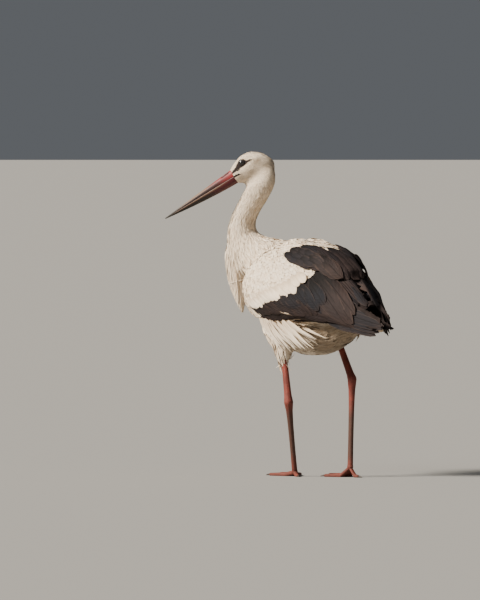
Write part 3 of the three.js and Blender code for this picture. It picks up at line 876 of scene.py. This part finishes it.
def coat(name, ground, owner, chosen, made_of, crowd, pointed, rise, roll, length=1.0, width=1.0,
         free_ends=False, steps=COAT_STEPS):
    """Small feathers over the chosen faces of the skin. crowd is how far they overlap, rise how far
    the tips stand off as a share of the length, and roll how far each is tipped to a side."""
    random = np.random.default_rng(SEED + sum(map(ord, name)))
    corners = ground.corners[chosen]
    _, sizes = lie_at(ground.points[corners].mean(1), unit(ground.normals[corners].mean(1)))
    spacing = np.sqrt(sizes[:, 0] * sizes[:, 1] * length * width) / crowd
    roots, faces = scatter(ground, chosen, spacing, random)
    count = len(roots)
    normal = ground.normal_at(roots, faces)
    way, sizes = lie_at(roots, normal)
    turn = random.normal(0, COAT_TURN, count)[:, None]
    way = unit(way * np.cos(turn) + np.cross(normal, way) * np.sin(turn))
    lengths = sizes[:, 0] * length * random.uniform(*COAT_LENGTHS, count)
    widths = sizes[:, 1] * width * random.uniform(*COAT_WIDTHS, count) / 2
    places = from_bird(roots)
    shade = dark_share(owner[ground.corners[faces, 0]], places)
    high = lengths * rise * random.uniform(*COAT_RISES, count)
    start = roots - way * lengths[:, None] * ROOT_BACK
    run = lay_paths(ground, start, way, lengths, steps, np.full(count, COAT_LOW), high, free_ends)
    run = rolled(run, roll, random)
    dark = (shade > random.uniform(*BORDER_MIX, count)).astype(float)
    feather_piece(name, run, widths, ground.uv_at(roots, faces), dark, brown_shade_share(places),
                  random.random(count), made_of, pointed, COAT_CAMBER, COAT_COLUMNS)


def make_coat(ground, owner, feather):
    names = owner[ground.corners[:, 0]]
    places = from_bird(ground.points[ground.corners].mean(1))
    ahead, _, up = places.T
    white = dark_share(names, places) < 0.5
    face = (in_head(places)[:, 0] < FACE_END) & (in_band(places, LORES) <= BARE_FROM)
    bib = (ahead > BIB_FRONT) & (up < BIB_HEIGHTS[1]) & (up > BIB_HEIGHTS[0])
    vent = (ahead < VENT_FRONT) & (ahead > VENT_BACK) & (up < VENT_TOP)

    def of(*nodes):
        return np.isin(names, nodes)

    trunk = of("trunk", "tail") & (ahead > TAIL_START)
    layers = {
        "feathers_head": (of("head") & face, dict(crowd=2.4, pointed=0.35, rise=0.07, roll=0.25)),
        "feathers_neck_upper": (of("neck_upper"), dict(crowd=2.3, pointed=0.8, rise=0.07, roll=0.3)),
        "feathers_neck_lower": (of("neck_lower"), dict(crowd=2.8, pointed=0.7, rise=0.08, roll=0.35)),
        "feathers_bib": (of("breast_plumes"), dict(crowd=2.6, pointed=1.0, rise=0.06, roll=0.4)),
        "plumes": (of("neck_lower", "breast_plumes") & bib, dict(
            crowd=2.2, pointed=1.0, rise=0.05, length=1.6, width=1.1, roll=0.35, free_ends=True, steps=9)),
        "feathers_trunk": (trunk, dict(crowd=2.5, pointed=0.45, rise=0.05, roll=0.2)),
        "feathers_thighs": (of("thigh_left", "thigh_right"), dict(
            crowd=2.2, pointed=0.8, rise=0.09, length=1.3, roll=0.35, free_ends=True)),
        "feathers_wings": (of("wing_left", "wing_right") & white, dict(
            crowd=2.2, pointed=0.2, rise=0.07, roll=0.22)),
        "feathers_shoulders": (of("scapulars_left", "scapulars_right") & white, dict(
            crowd=2.3, pointed=0.3, rise=0.07, roll=0.2)),
        "vent_plumes": (trunk & vent, dict(crowd=1.7, pointed=0.6, rise=0.08, width=1.2, roll=0.3)),
    }
    for name, (chosen, settings) in layers.items():
        coat(name, ground, owner, np.flatnonzero(chosen), feather, **settings)


# ---- the large feathers

# Rows of large feathers on a side, given to large_feathers, which says what each setting is.
# Later rows lie over earlier ones.
FEATHER_ROWS = {
    "secondaries": dict(
        count=22, line=[(66, 366), (0, 366), (-90, 369), (-170, 372)], angles=(17, 19),
        lengths=(84, 92), widths=(19, 22), lifts=(-1.4, -0.8), pointed=0.2, tones=(0.0, 0.3), fringed=(7, 8)),
    "outer_coverts": dict(
        count=20, line=[(72, 374), (0, 387), (-100, 398)], angles=(18, 28),
        lengths=(58, 76), widths=(19, 23), lifts=(-0.2, 0.4), tones=(0.1, 0.3), fringed=(11, 14)),
    "tertials": dict(
        count=12, line=[(-100, 424), (-114, 440), (-120, 460)], angles=(29, 36),
        lengths=(126, 172), widths=(24, 34), lifts=(0.6, 2.2), pointed=0.1, tones=(0.5, 0.1)),
    "inner_coverts": dict(
        count=14, line=[(8, 396), (-50, 412), (-122, 430)], angles=(24, 40),
        lengths=(54, 76), widths=(24, 30), lifts=(0.6, 2.8), tones=(0.2, 1.3)),
    "rump_feathers": dict(
        count=8, line=[(-150, 44), (-164, 5)], from_top=True, angles=(33, 34),
        lengths=(128, 146), widths=(28, 32), lifts=(-1.0, -0.4), pointed=0.3, tones=(0.6, 0.9)),
    "ridge_feathers": dict(
        count=8, line=[(-106, 46), (-116, 6)], from_top=True, angles=(35, 36),
        lengths=(156, 178), widths=(30, 34), lifts=(-1.2, -0.8), pointed=0.15, tones=(0.1, 0.4)),
    "flank": dict(
        count=26, line=[(38, 350), (0, 345), (-76, 345)], angles=(58, 34),
        lengths=(44, 84), widths=(12, 14), lifts=(1.0, 4.0), pointed=0.8, dark=0, tones=(0, 0.6)),
    "hanging_flank": dict(
        count=34, line=[(46, 352), (20, 343), (-30, 343), (-72, 345)], angles=(60, 34),
        lengths=(66, 84), widths=(7, 10), lifts=(0.6, 3.0), pointed=1.0, dark=0, tones=(0, 0.6),
        hanging=0.34, jitter=5, right=0.68),
    "hanging_outer": dict(
        count=14, line=[(38, 345), (14, 338), (-50, 345)], angles=(62, 38),
        lengths=(54, 80), widths=(9, 12), lifts=(2.4, 4.0), pointed=0.9, dark=0, tones=(0, 0.3),
        hanging=0.3, jitter=6, right=0.68),
    "white_coverts": dict(
        count=18, line=[(76, 386), (38, 397), (-22, 415), (-68, 432), (-80, 450)], angles=(27, 34),
        lengths=(36, 44), widths=(15, 23), lifts=(1.4, 2.4), pointed=0.2, dark=0, tones=(0, 0.9), jitter=4),
    "scapulars_lower": dict(
        count=10, line=[(-6, 491), (-34, 486), (-84, 478)], angles=(28, 10),
        lengths=(48, 60), widths=(26, 30), lifts=(4.5, 7.5), tones=(0.9, 0.6)),
    "scapulars_middle": dict(
        count=12, line=[(-12, 499), (-50, 495), (-108, 482)], angles=(15, 22),
        lengths=(54, 92), widths=(29, 33), lifts=(5.0, 8.0), tones=(0.7, 0.3)),
    "scapulars_upper": dict(
        count=13, line=[(-36, 507), (-70, 505), (-122, 488)], angles=(8, 30),
        lengths=(58, 108), widths=(29, 33), lifts=(4.5, 2.0), tones=(0.6, 0.3), wrapped=True),
}
# The feathers of a tail half and a wing tip: their tips, the root of the first, how much lower each next
# root is, the width, and 1 for black. Places are (ahead, out, up).
STRAIGHT_ROWS = {
    "tail": dict(
        tips=[(-286, 4, 337), (-286, 9, 336), (-284, 14, 335), (-280, 18, 333), (-275, 21, 331)],
        root=(-200, 8, 354), drop=2, width=28, dark=0),
    "primaries": dict(
        tips=[(-300, 6, 352), (-316, 7, 346), (-326, 9, 338), (-324, 11, 331), (-314, 13, 324),
              (-304, 16, 317), (-294, 20, 319), (-284, 24, 322), (-272, 28, 324), (-258, 33, 327)],
        root=(-150, 64, 388), drop=3, width=25, dark=1),
}
LARGE_STEPS = 15
LARGE_COLUMNS = 9
LARGE_CAMBER = 0.18
LARGE_ROLL = 0.1
LAYER = 0.12 * MM  # each feather of a row lies this far over the one before
ROOT_UNDER = 1.5 * MM  # how far a root lies under its row's height, and a tip over it
TIP_OVER = 0.6 * MM
ROOT_SCATTER = 1.2
LENGTH_SCATTER = 0.08
WIDTH_SCATTER = 0.06
TONE_SCATTER = 0.12
STRAIGHT_CAMBER = 0.1
STRAIGHT_POINT = 0.05
STRAIGHT_TILT = 0.35
STRAIGHT_BOW = 6
# black straight feathers lean toward slate, a painted sheen, and white ones toward cream
STRAIGHT_TONES = (0.7, 1)
ABOVE = 900  # clear of the bird
BESIDE = 400


def on_bird(ground, ahead, other, side, from_top):
    """The outermost place on one side at a distance ahead and a height, or the topmost at a distance
    ahead and out from the middle. Where the bird has none, it is on the middle."""
    start = [ahead, side * other, ABOVE] if from_top else [ahead, side * BESIDE, other]
    way = (0, 0, -1) if from_top else (0, -side, 0)
    hit = ground.tree.ray_cast(Vector(bird(start)), Vector(way))[0]
    return bird([ahead, 0, other]) if hit is None else np.array(hit)


def along_line(line, shares):
    """Places at shares of the way along a line of points."""
    line = np.array(line, float)
    apart = np.linalg.norm(np.diff(line, axis=0), axis=1)
    at = np.concatenate([[0], np.cumsum(apart)]) / apart.sum()
    return np.stack([np.interp(shares, at, line[:, k]) for k in range(line.shape[1])], -1)


def large_feathers(name, outside, ground, side, feather, random, count, line, angles, lengths, widths, lifts,
                   tones, pointed=0.0, dark=1, fringed=(), jitter=1.8, right=1, hanging=None,
                   from_top=False, wrapped=False):
    """A row of feathers from its first to its last, as pairs of settings give both. Their roots lie on a
    line of (ahead, up), or (ahead, out) for those from the top. Angles are below level, in degrees, and
    jitter is how unlike they are. lifts is how far they lie over the surface and dark is 1 for black. tones
    go from brown to slate, a painted sheen, on black feathers and from bright to cream on white ones. The
    fringed ones have a pale edge. right is the length on the right side as a share of the left's. A hanging
    row leaves the body and leans in by that share of its length, and one from the top or wrapped bends over
    the surface across its width too."""
    share = np.linspace(0, 1, count)

    def spread(pair, scatter=0.0):
        return (pair[0] + (pair[1] - pair[0]) * share) * random.uniform(1 - scatter, 1 + scatter, count)

    roots = along_line(line, share) + random.normal(0, ROOT_SCATTER, (count, 2))
    angle = np.radians(spread(angles) + random.normal(0, jitter, count))
    length = spread(lengths, LENGTH_SCATTER) * MM * (right if side > 0 else 1)
    width = spread(widths, WIDTH_SCATTER) * MM / 2
    lift = spread(lifts) * MM + np.arange(count) * LAYER
    roots = np.array([on_bird(outside, ahead, other, side, from_top) for ahead, other in roots])
    ways = bird_way(np.stack([-np.cos(angle), np.zeros(count), -np.sin(angle)], -1))
    if hanging:
        run = hang_paths(roots, ways, length, LARGE_STEPS, lift, side, hanging)
    else:
        run = lay_paths(outside, roots, ways, length, LARGE_STEPS, lift - ROOT_UNDER, lift + TIP_OVER,
                        not from_top)
    run = rolled(run, LARGE_ROLL, random)
    over = outside if from_top or wrapped else None
    heights = lift[:, None] + np.linspace(-ROOT_UNDER, TIP_OVER, LARGE_STEPS)
    fringe = np.isin(np.arange(count), fringed)
    tone = np.clip(spread(tones) + random.normal(0, TONE_SCATTER, count), 0, 1)
    feather_piece(name, run, width, ground.uv_near(roots), dark, fringe, tone, feather,
                  pointed, LARGE_CAMBER, LARGE_COLUMNS, over, heights)


def straight_feathers(name, ground, side, feather, random, tips, root, drop, width, dark):
    """The feathers of a wing tip or the tail, each from under the others straight to its own tip."""
    count = len(tips)
    tips = bird([(ahead, side * out, up) for ahead, out, up in tips])
    ahead, out, up = root
    roots = bird([(ahead, side * out, up - k * drop) for k in range(count)])
    share = np.linspace(0, 1, LARGE_STEPS)[None, :, None]
    paths = roots[:, None] + (tips - roots)[:, None] * share
    paths[..., 1] += side * STRAIGHT_BOW * MM * np.sin(share[..., 0] * math.pi)
    way = unit(tips - roots)
    outward = unit(np.cross(way, np.cross(np.array([0, side, STRAIGHT_TILT]), way)))
    sides = np.repeat(np.cross(outward, way)[:, None], LARGE_STEPS, 1)
    ups = np.repeat(outward[:, None], LARGE_STEPS, 1)
    tone = random.uniform(*STRAIGHT_TONES, count)
    feather_piece(name, (paths, sides, ups), np.full(count, width * MM / 2), ground.uv_near(roots), dark, 0,
                  tone, feather, STRAIGHT_POINT, STRAIGHT_CAMBER, LARGE_COLUMNS)


def make_wings(outside, ground, feather):
    for side_name, side in SIDES.items():
        random = np.random.default_rng(SEED + side)
        for name, row in STRAIGHT_ROWS.items():
            straight_feathers(f"{name}_{side_name}", ground, side, feather, random, **row)
        for name, row in FEATHER_ROWS.items():
            large_feathers(f"{name}_{side_name}", outside, ground, side, feather, random, **row)


# ---- bill

BILL_BASE = 48  # inside the feathers
BILL_FEATHERS = 56  # where the feathers end
BILL_TIP = 233
GAPE_HEIGHT = 8
GAPE_HALF = 0.12  # half the slit between the mandibles
UPPER_DEPTH = 15.5
LOWER_DEPTH = 16.5
UPPER_FULLNESS = 1.05
LOWER_FULLNESS = 1.6
BILL_HALF_WIDTH = 12
BILL_TIP_HALF = 0.9
BILL_TAPER = 0.8
BILL_RINGS = 90
BILL_ARCS = 36
SIDE_ROUND = 0.85  # 1 is a round section, less is squarer
BACK_ROUND = 0.9
NOSTRIL_START = 60
NOSTRIL_END = 80
NOSTRIL_HEIGHT = (21.5, 19.5)  # at its start and end
NOSTRIL_HALF = 1.1
NOSTRIL_DEPTH = 1.2
HORN_FLECK = srgb(60, 34, 30)
NOSTRIL_SHADE = srgb(20, 12, 12)


def bill_material(name, base, middle, far, ridge, lip, lip_width):
    """Horn that goes from one colour at the base to another at the tip, along the Horn map. ridge is the
    colour along the middle of the mandible's back, from about a third of its length on, and lip the colour
    along the gape. On the upper bill the ridge is a painted highlight and the lip painted shade. On the
    lower bill the ridge makes the underside darker and the lip is a paler line. The nostrils are painted
    shade."""
    made, w, paint = material(name, 0.42, 0.4, Coat_Weight=0.08, Coat_Roughness=0.4)
    around, along = w.uv("Horn")
    grain = w.noise(w.vector(around * 5, along * 9, 0), 5.0, 5.0)
    flecks = w.noise(w.vector(around * 16, along * 50, 0.5), 5.0, 3.0)
    uneven = along + (grain - 0.5) * 0.3
    colour = uneven.ramp(0.16, 0.5).mix(base, middle)
    back = 1 - (around - 0.25).size().ramp(0.06, 0.2)
    # painted highlight along the top of the upper bill; darker along the underside of the lower
    colour = (back * uneven.ramp(0.25, 0.45) * 0.8).mix(colour, ridge)
    colour = (along + (grain - 0.5) * 0.25).ramp(0.6, 0.9).mix(colour, far)
    colour = (flecks.ramp(0.55, 0.75) * 0.35).mix(colour, HORN_FLECK)
    edge = (1 - around.ramp(lip_width * 0.4, lip_width)) + around.ramp(0.5 - lip_width, 0.5 - lip_width * 0.4)
    run = along.ramp(0.04, 0.3) * (1 - along.ramp(0.8, 0.95))
    # painted shade along the lower side of the upper bill by the gape; a paler line along the gape of the
    # lower
    colour = (edge.clamp() * run * 0.9).mix(colour, lip)
    # painted shade in the nostril slits
    colour = w.attribute("nostril").mix(colour, NOSTRIL_SHADE)
    relief = w.bump(grain + flecks * 0.4, 0.25, HORN_RELIEF)
    paint(Base_Color=colour, Roughness=0.4 + grain * 0.2, Normal=relief)
    return made


def mandible(name, direction, depth, fullness, made_of, node):
    """Half of the bill, above the gape for direction 1 and below it for -1, with the nostrils above."""
    share = np.linspace(0, 1, BILL_RINGS)[:, None]
    forward = BILL_BASE + (BILL_TIP - BILL_BASE) * share
    cad_share = np.clip((forward - BILL_FEATHERS) / (BILL_TIP - BILL_FEATHERS), 0, 1)
    half = BILL_HALF_WIDTH + (BILL_TIP_HALF - BILL_HALF_WIDTH) * cad_share ** BILL_TAPER
    high = depth + (BILL_TIP_HALF - depth) * cad_share ** fullness
    angle = np.linspace(0, math.pi, BILL_ARCS)[None, :]
    side = np.sign(np.cos(angle)) * np.abs(np.cos(angle)) ** SIDE_ROUND * half
    height = GAPE_HEIGHT + direction * (GAPE_HALF + np.sin(angle) ** BACK_ROUND * high)
    slit_height = np.interp(forward, [NOSTRIL_START, NOSTRIL_END], NOSTRIL_HEIGHT)
    nostril = smooth_step(NOSTRIL_HALF * 1.8, NOSTRIL_HALF * 0.6, np.abs(height - slit_height))
    nostril = nostril * smooth_step(NOSTRIL_START - 2, NOSTRIL_START + 2, forward)
    nostril = nostril * smooth_step(NOSTRIL_END + 2, NOSTRIL_END - 3, forward) * (direction > 0)
    side = side - np.sign(side) * nostril * NOSTRIL_DEPTH
    points = np.stack([np.broadcast_to(forward, side.shape), side, height], -1)
    inner = points[:, -2:0:-1] * [1, 0.7, 0] + [0, 0, GAPE_HEIGHT + direction * 0.05]
    closed = np.concatenate([points, inner], 1)
    dent = np.concatenate([nostril, np.zeros(inner.shape[:2])], 1)
    columns = closed.shape[1]
    quads = grid_quads(BILL_RINGS, columns, closed=True, turned=direction > 0)
    piece = mesh_piece(name, bird(head(closed)).reshape(-1, 3), quads, made_of,
                       values={"nostril": dent}, maps={"Horn": grid_map(BILL_RINGS, columns)})
    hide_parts(node)


def make_bill():
    coral = bill_material("Upper bill", srgb(136, 42, 42), srgb(84, 42, 30), srgb(38, 33, 23),
                          srgb(138, 108, 76), srgb(32, 18, 14), 0.15)
    # the lower bill's darker reds and browns are painted shade
    shaded_crimson = bill_material("Lower bill", srgb(74, 16, 22), srgb(34, 25, 18), srgb(26, 23, 16),
                            srgb(28, 24, 16), srgb(106, 78, 60), 0.035)
    mandible("bill_upper", 1, UPPER_DEPTH, UPPER_FULLNESS, coral, "upper_bill")
    mandible("bill_lower", -1, LOWER_DEPTH, LOWER_FULLNESS, shaded_crimson, "lower_bill")


# ---- eyes

EYE_CENTRE = (24, 16.2, 24.5)  # forward, out and up in the head's frame
EYE_RADIUS = 7.2
EYE_WAY = (0.28, 1, 0.16)  # where it looks
EYE_RINGS = 16
EYE_TURNS = 32
EYE_REACH = 2.1  # from its front round to its back, in radians
LID_RINGS = 9
LID_INNER = 0.55
LID_OUTER = 1.45
LID_ALMOND = 0.22  # how much wider the lids are fore and aft
LID_RISE = 0.9
LID_OVER = 0.25


def eye_material():
    """A wet dark ball with a black pupil and a brown iris."""
    made, w, paint = material("Eye", 0.06, 0.6, Coat_Weight=0.6, Coat_Roughness=0.03)
    around, out = w.uv("Eye")
    iris = out.ramp(0.2, 0.3)
    fibres = w.noise(w.vector(around * 30, out * 3, 0), 4.0, 3.0)
    colour = iris.mix(srgb(8, 7, 7), srgb(40, 26, 20))
    paint(Base_Color=(fibres * iris * 0.4).mix(colour, srgb(18, 12, 10)))
    return made


def bare_skin_material():
    made, w, paint = material("Bare black skin", 0.55, 0.4)
    folds = w.cells(w.place(), 900.0)
    paint(Base_Color=folds.ramp(0.1, 0.7).mix(srgb(22, 18, 18), srgb(44, 36, 34)),
          Normal=w.bump(folds, 0.4, FINE_RELIEF))
    return made


def make_eyes():
    eye = eye_material()
    bare = bare_skin_material()
    turn = np.linspace(0, 2 * math.pi, EYE_TURNS, endpoint=False)[None, :]
    polar = np.linspace(0.02, EYE_REACH, EYE_RINGS)[:, None]
    wide = np.linspace(LID_INNER, LID_OUTER, LID_RINGS)[:, None]
    lid_reach = wide * (1 + LID_ALMOND * np.abs(np.cos(turn)) ** 3)
    lid_rise = np.sin((wide - LID_INNER) / (LID_OUTER - LID_INNER) * math.pi) * LID_RISE + LID_OVER
    around = np.stack(np.broadcast_arrays(turn / (2 * math.pi), polar / EYE_REACH), -1).reshape(-1, 2)
    for name, side in SIDES.items():
        flip = [1, side, 1]
        centre = np.array(EYE_CENTRE) * flip
        axis = unit(np.array(EYE_WAY) * flip)
        first = unit(np.cross(axis, UPRIGHT))
        second = np.cross(axis, first)

        def cap(reach, radius):
            """Rings about the way that the eye looks, in the row frame."""
            ways = (
                np.cos(reach)[..., None] * axis
                + (np.sin(reach) * np.cos(turn))[..., None] * first
                + (np.sin(reach) * np.sin(turn))[..., None] * second
            )
            return bird(head(centre + ways * radius)).reshape(-1, 3)

        quads = grid_quads(EYE_RINGS, EYE_TURNS, closed=True, turned=side > 0)
        ball = mesh_piece(f"eyeball_{name}", cap(polar, EYE_RADIUS), quads, eye, maps={"Eye": around})
        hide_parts(f"eye_{name}")
        lid = cap(lid_reach, (EYE_RADIUS + lid_rise)[..., None])
        mesh_piece(f"eyelids_{name}", lid, quads[:(LID_RINGS - 1) * EYE_TURNS], bare)


# ---- legs

ANKLES = {"left": (-17, -67, 166), "right": (-76, 60, 216)}
FOOT_JOINTS = {"left": (33, -22, 12), "right": (-68, 60, 26)}
ANKLE_RADIUS = 9.6
FOOT_JOINT_RADIUS = 6
FOOT_TURNS = {"left": -8, "right": 4}
WEB_ANGLES = (-17, 16.5)  # between the front toes, outward from the foot's heading
WEB_BALLS = [(19, 3.6, 3.2), (23, 3.1, 2.9), (26.5, 2.6, 2.4)]  # away from the joint, up, and radius
LEG_VOXEL = 0.9 * MM
LEG_SMOOTHING = 5
LEG_SHRINK = 0.5 * MM
SCALES = 420.0  # in a metre
LEG_RED = srgb(150, 62, 48)
LEG_BROWN = srgb(112, 44, 34)
LEG_OLIVE = srgb(66, 51, 38)
SCALE_DARK = srgb(78, 46, 38)


def leg_material():
    """Scales over the leg, brick red above and at the toes and olive brown between."""
    made, w, paint = material("Leg skin", 0.6, 0.35)
    place = w.place()
    height = place.parts()[2]
    scales = w.cells(place, SCALES)
    edges = w.cells(place, SCALES, "DISTANCE_TO_EDGE")
    dust = w.noise(place, 45.0, 5.0)
    olive = (1 - height.ramp(0.12, 0.18)) * (0.35 + 0.65 * height.ramp(0.02, 0.06))
    colour = dust.ramp(0.3, 0.7).mix(LEG_RED, LEG_BROWN)
    colour = (olive * 0.9).mix(colour, LEG_OLIVE)
    colour = (scales * 0.4 + (1 - edges.ramp(0.0, 0.12)) * 0.5).clamp().mix(colour, SCALE_DARK)
    relief = w.bump(edges.ramp(0.0, 0.25), 0.6, HORN_RELIEF)
    paint(Base_Color=colour, Roughness=0.5 + dust * 0.25, Normal=relief)
    return made


def claw_material():
    made, w, paint = material("Claw horn", 0.45, 0.45)
    grain = w.noise(w.place(), 300.0, 4.0)
    paint(Base_Color=grain.mix(srgb(34, 28, 26), srgb(78, 62, 52)), Normal=w.bump(grain, 0.3, FINE_RELIEF))
    return made


def leg_balls(name, side):
    """Balls that fill a leg's joints and the webs between its front toes."""
    balls = [(ANKLES[name], ANKLE_RADIUS), (FOOT_JOINTS[name], FOOT_JOINT_RADIUS)]
    ahead, right, _ = FOOT_JOINTS[name]
    for angle in WEB_ANGLES:
        turn = math.radians(side * angle - FOOT_TURNS[name])
        for away, up, radius in WEB_BALLS:
            balls.append(((ahead + math.cos(turn) * away, right + math.sin(turn) * away, up), radius))
    return balls


def make_legs():
    scaled = leg_material()
    horn = claw_material()
    for name, side in SIDES.items():
        nodes = [f"shank_{name}", f"tarsus_{name}", f"foot_{name}"]
        leg = remeshed(joined_copy(f"leg_{name}", nodes, leg_balls(name, side)), LEG_VOXEL, LEG_SMOOTHING)
        swell(leg.data, LEG_SHRINK)
        cover(leg.data, scaled)
        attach(leg, "root")
        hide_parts(*nodes)
        for toe in ("inner", "middle", "outer", "hind"):
            node = f"claw_{name}_{toe}"
            claw = joined_copy(f"nail_{name}_{toe}", [node])
            rounding = claw.modifiers.new("Rounding", "SUBSURF")
            rounding.levels = 2
            rounding.render_levels = 2
            bake_modifiers(claw)
            cover(claw.data, horn)
            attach(claw, "root")
            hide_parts(node)


# ---- the stage

CAMERA_AIM = (78.1, -135.3, 389)
CAMERA_AZIMUTH = 60
CAMERA_LIFT = 1.2
CAMERA_AWAY = 18
CAMERA_SEES = 200
PICTURE_HEIGHT = 1.32
SENSOR = 36
FLOOR_SIZE = 400
FLOOR_GREY = srgb(150, 149, 146)
SKY = srgb(214, 220, 228)
SKY_STRENGTH = 0.17
# Each light: strength, how soft in degrees, colour, azimuth and lift.
LIGHTS = {
    "Soft key": (9.0, 14, (1.0, 0.92, 0.81), -7, 36),
    "Soft fill": (0.6, 26, (0.95, 0.97, 1.0), 25, 36),
}


def way_to(azimuth, lift):
    """The way from the bird to something far off: degrees round from its left to its tail, and up."""
    turn = math.radians(azimuth)
    rise = math.radians(lift)
    return Vector((math.sin(turn) * math.cos(rise), -math.cos(turn) * math.cos(rise), math.sin(rise)))


def faced(thing, way):
    """Turns a light or the camera to look along a way."""
    thing.rotation_euler = way.to_track_quat("-Z", "Y").to_euler()


def make_stage():
    bpy.ops.mesh.primitive_plane_add(size=FLOOR_SIZE)
    floor = bpy.context.object
    floor.name = "floor"
    made, _, _ = material("Pale floor", 0.9, 0.1, Base_Color=FLOOR_GREY)
    floor.data.materials.append(made)

    world = bpy.data.worlds.new("Studio")
    bpy.context.scene.world = world
    world.use_nodes = True
    sky = world.node_tree.nodes["Background"]
    sky.inputs["Color"].default_value = SKY
    sky.inputs["Strength"].default_value = SKY_STRENGTH

    for name, (strength, softness, colour, azimuth, lift) in LIGHTS.items():
        light = bpy.data.lights.new(name, "SUN")
        light.angle = math.radians(softness)
        light.energy = strength
        light.color = colour
        faced(linked(name, light), -way_to(azimuth, lift))

    camera = bpy.data.cameras.new("Camera")
    camera.sensor_width = SENSOR
    camera.lens = SENSOR * CAMERA_AWAY / PICTURE_HEIGHT
    camera.clip_end = CAMERA_SEES
    seat = linked("Camera", camera)
    look = -way_to(CAMERA_AZIMUTH, CAMERA_LIFT)
    seat.location = Vector(bird(CAMERA_AIM)) - look * CAMERA_AWAY
    faced(seat, look)
    bpy.context.scene.camera = seat


def main():
    ground, outside, owner = make_skin()
    feather = feather_material()
    make_coat(ground, owner, feather)
    make_wings(outside, ground, feather)
    make_bill()
    make_eyes()
    make_legs()
    make_stage()


main()
